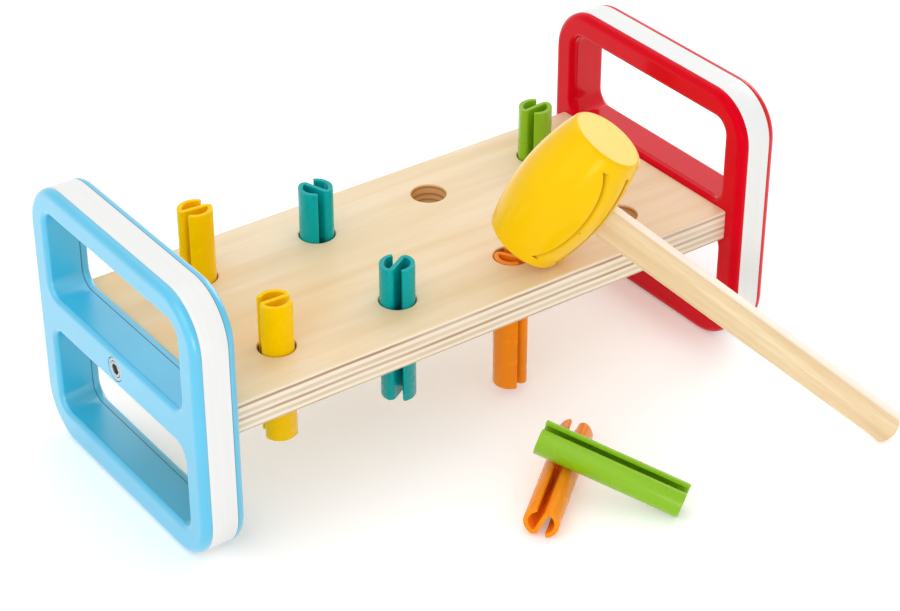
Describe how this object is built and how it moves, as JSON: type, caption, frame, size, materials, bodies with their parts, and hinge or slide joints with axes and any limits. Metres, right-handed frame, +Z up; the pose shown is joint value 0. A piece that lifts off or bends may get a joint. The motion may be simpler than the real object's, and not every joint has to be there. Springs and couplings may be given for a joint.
{
  "type": "peg pounding bench",
  "caption": "Plywood bench between two framed end panels, with sprung pegs that are hammered through its holes and a wooden-handled mallet.",
  "frame": {"origin": "on the floor, under the middle of the box round the whole set: bench, loose pegs and mallet", "axes": "+X along the board from the blue end to the red end, +Y from the front to the back, +Z up"},
  "size_m": [0.3044, 0.2359, 0.1424],
  "materials": {
    "plywood": "clear satin lacquer",
    "pale_core": "satin white paint",
    "blue_face": "semi-gloss",
    "red_face": "gloss",
    "steel": "bright zinc",
    "beech": "clear satin lacquer",
    "yellow_plastic": "semi-gloss",
    "teal_plastic": "semi-gloss",
    "green_plastic": "semi-gloss",
    "orange_plastic": "semi-gloss"
  },
  "bodies": {
    "bench": {"bench_board": "plywood", "blue_outer_shell": "blue_face", "blue_core_frame": "pale_core", "blue_inner_plate": "blue_face", "blue_screw": "steel", "blue_washer": "steel", "blue_dowels": "beech", "red_outer_shell": "red_face", "red_core_frame": "pale_core", "red_inner_plate": "red_face", "red_screw": "steel", "red_washer": "steel", "red_dowels": "beech"},
    "yellow_peg_back": {"yellow_peg_back": "yellow_plastic"},
    "yellow_peg_front": {"yellow_peg_front": "yellow_plastic"},
    "teal_peg_back": {"teal_peg_back": "teal_plastic"},
    "teal_peg_front": {"teal_peg_front": "teal_plastic"},
    "green_peg_back": {"green_peg_back": "green_plastic"},
    "orange_peg_front": {"orange_peg_front": "orange_plastic"},
    "orange_peg_loose": {"orange_peg_loose": "orange_plastic"},
    "green_peg_loose": {"green_peg_loose": "green_plastic"},
    "mallet": {"mallet_head": "yellow_plastic", "mallet_handle": "beech"}
  },
  "joints": [
    {"name": "yellow_back_slide", "type": "slide", "parent": "bench", "child": "yellow_peg_back", "axis": [0, 0, 1], "range_m": [-0.0347, 0.0173]},
    {"name": "yellow_front_slide", "type": "slide", "parent": "bench", "child": "yellow_peg_front", "axis": [0, 0, 1], "range_m": [-0.0234, 0.0286]},
    {"name": "teal_back_slide", "type": "slide", "parent": "bench", "child": "teal_peg_back", "axis": [0, 0, 1], "range_m": [-0.0243, 0.0277]},
    {"name": "teal_front_slide", "type": "slide", "parent": "bench", "child": "teal_peg_front", "axis": [0, 0, 1], "range_m": [-0.0186, 0.0334]},
    {"name": "green_back_slide", "type": "slide", "parent": "bench", "child": "green_peg_back", "axis": [0, 0, 1], "range_m": [-0.0262, 0.0258]},
    {"name": "orange_front_slide", "type": "slide", "parent": "bench", "child": "orange_peg_front", "axis": [0, 0, 1], "range_m": [0, 0.0517]},
    {"name": "loose_orange_lift", "type": "slide", "parent": "bench", "child": "orange_peg_loose", "axis": [0, 0, 1], "range_m": [0, 0.08]},
    {"name": "loose_green_lift", "type": "slide", "parent": "orange_peg_loose", "child": "green_peg_loose", "axis": [0, 0, 1], "range_m": [0, 0.08]},
    {"name": "mallet_lift", "type": "slide", "parent": "orange_peg_front", "child": "mallet", "axis": [0, 0, 1], "range_m": [0, 0.12]}
  ]
}
